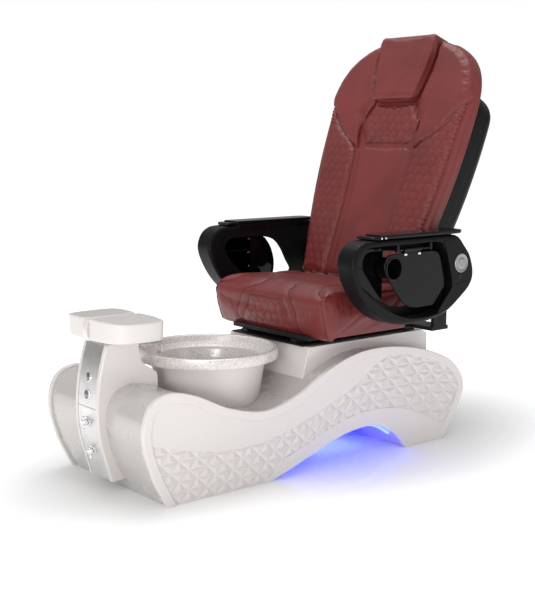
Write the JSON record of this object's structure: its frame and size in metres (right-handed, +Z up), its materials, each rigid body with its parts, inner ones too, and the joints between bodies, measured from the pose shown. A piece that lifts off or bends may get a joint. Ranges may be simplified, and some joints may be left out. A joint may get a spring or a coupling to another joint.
{
  "type": "pedicure spa chair",
  "caption": "Pedicure spa chair: curved base with a round foot bowl, control column and footrest, sliding massage seat with reclining back and lift-up armrests.",
  "frame": {"origin": "on the floor, at the middle of the chair's bounding box", "axes": "+Z up; the sitter faces -Y, where the footrest is; +X is the sitter's left"},
  "size_m": [0.8296, 1.5144, 1.4213],
  "materials": {
    "pearl_lobe": "gloss",
    "pearl_white": "gloss",
    "glitter_white": "satin",
    "mirror_steel": "polished",
    "chrome": "polished",
    "brass": "satin",
    "painted_steel": "satin",
    "matt_black": "matte",
    "gloss_black": "gloss",
    "burgundy_leather": "satin",
    "rubber": "matte",
    "blue_light": "satin"
  },
  "bodies": {
    "base": {"base_shell": "pearl_lobe", "side_panel_left": "pearl_white", "side_panel_right": "pearl_white", "column_shell": "pearl_white", "control_plate_upper": "mirror_steel", "control_plate_lower": "mirror_steel", "pedestal_cover": "pearl_white", "foot_bowl": "glitter_white", "bowl_drain": "chrome", "jet_cover": "matt_black", "jet_motor": "matt_black", "filler_spout": "chrome", "base_frame": "painted_steel", "levelling_foot_1": "rubber", "levelling_foot_2": "rubber", "levelling_foot_3": "rubber", "levelling_foot_4": "rubber", "led_strip_left": "blue_light", "led_strip_right": "blue_light", "hot_valve": "brass", "cold_valve": "brass", "power_inlet": "matt_black", "seat_rail_left": "painted_steel", "seat_rail_right": "painted_steel", "rail_cover_plate": "painted_steel", "slide_actuator": "painted_steel"},
    "footrest": {"footrest_rib": "pearl_white", "footrest_post": "painted_steel", "footrest_pad_left": "pearl_white", "footrest_pad_right": "pearl_white"},
    "jet_switch": {"jet_button": "chrome"},
    "drain_switch": {"drain_button": "chrome"},
    "hot_handle": {"hot_lever": "chrome"},
    "cold_handle": {"cold_lever": "chrome"},
    "seat": {"seat_frame": "painted_steel", "seat_cushion": "burgundy_leather", "recline_motor": "matt_black"},
    "back": {"back_frame": "painted_steel", "back_cushion": "burgundy_leather", "headrest_pad": "burgundy_leather", "back_shell": "matt_black", "back_rear_cover": "matt_black", "massage_rail_left": "painted_steel", "massage_rail_right": "painted_steel"},
    "carriage": {"massage_carriage": "painted_steel"},
    "kneader": {"kneading_shaft": "painted_steel", "kneading_wheel_left": "rubber", "kneading_wheel_right": "rubber"},
    "arm_left": {"arm_frame_left": "matt_black", "arm_backplate_left": "gloss_black", "arm_lid_left": "gloss_black", "arm_pivot_pin_left": "chrome", "tray_rod_left": "chrome"},
    "arm_right": {"arm_frame_right": "matt_black", "arm_backplate_right": "gloss_black", "arm_lid_right": "gloss_black", "arm_pivot_pin_right": "chrome", "tray_rod_right": "chrome"},
    "folding_tray_left": {"tray_left": "gloss_black"},
    "folding_tray_right": {"tray_right": "gloss_black"}
  },
  "joints": [
    {"name": "seat_slide", "type": "slide", "parent": "base", "child": "seat", "axis": [0, 1, 0], "range_m": [-0.05, 0.08]},
    {"name": "back_recline", "type": "hinge", "parent": "seat", "child": "back", "pos_m": [0, 0.38606, 0.47], "axis": [-1, 0, 0], "range_deg": [0, 32]},
    {"name": "arm_left_lift", "type": "hinge", "parent": "seat", "child": "arm_left", "pos_m": [0.329, 0.45606, 0.644], "axis": [-1, 0, 0], "range_deg": [0, 45]},
    {"name": "arm_right_lift", "type": "hinge", "parent": "seat", "child": "arm_right", "pos_m": [-0.329, 0.45606, 0.644], "axis": [-1, 0, 0], "range_deg": [0, 45]},
    {"name": "tray_left_flip", "type": "hinge", "parent": "arm_left", "child": "folding_tray_left", "pos_m": [0.389, 0.24606, 0.703], "axis": [0, -1, 0], "range_deg": [0, 90]},
    {"name": "tray_right_flip", "type": "hinge", "parent": "arm_right", "child": "folding_tray_right", "pos_m": [-0.389, 0.14606, 0.703], "axis": [0, 1, 0], "range_deg": [0, 90]},
    {"name": "footrest_height", "type": "slide", "parent": "base", "child": "footrest", "axis": [0, 0, 1], "range_m": [0, 0.06]},
    {"name": "jet_press", "type": "slide", "parent": "base", "child": "jet_switch", "axis": [0, 0.98, -0.1991], "range_m": [0, 0.004], "stiffness_N_per_m": 400, "springref_m": -0.002},
    {"name": "drain_press", "type": "slide", "parent": "base", "child": "drain_switch", "axis": [0, 0.9956, -0.0933], "range_m": [0, 0.004], "stiffness_N_per_m": 400, "springref_m": -0.002},
    {"name": "hot_turn", "type": "hinge", "parent": "base", "child": "hot_handle", "pos_m": [0, -0.73714, 0.217], "axis": [0, -0.9952, -0.0979], "range_deg": [0, 90]},
    {"name": "cold_turn", "type": "hinge", "parent": "base", "child": "cold_handle", "pos_m": [0, -0.72062, 0.126], "axis": [0, -0.959, -0.2833], "range_deg": [0, 90]},
    {"name": "massage_travel", "type": "slide", "parent": "back", "child": "carriage", "axis": [0, 0.3584, 0.9336], "range_m": [-0.17, 0.35]},
    {"name": "kneading_spin", "type": "hinge", "parent": "carriage", "child": "kneader", "pos_m": [0, 0.53506, 0.80495], "axis": [1, 0, 0], "continuous": true}
  ]
}
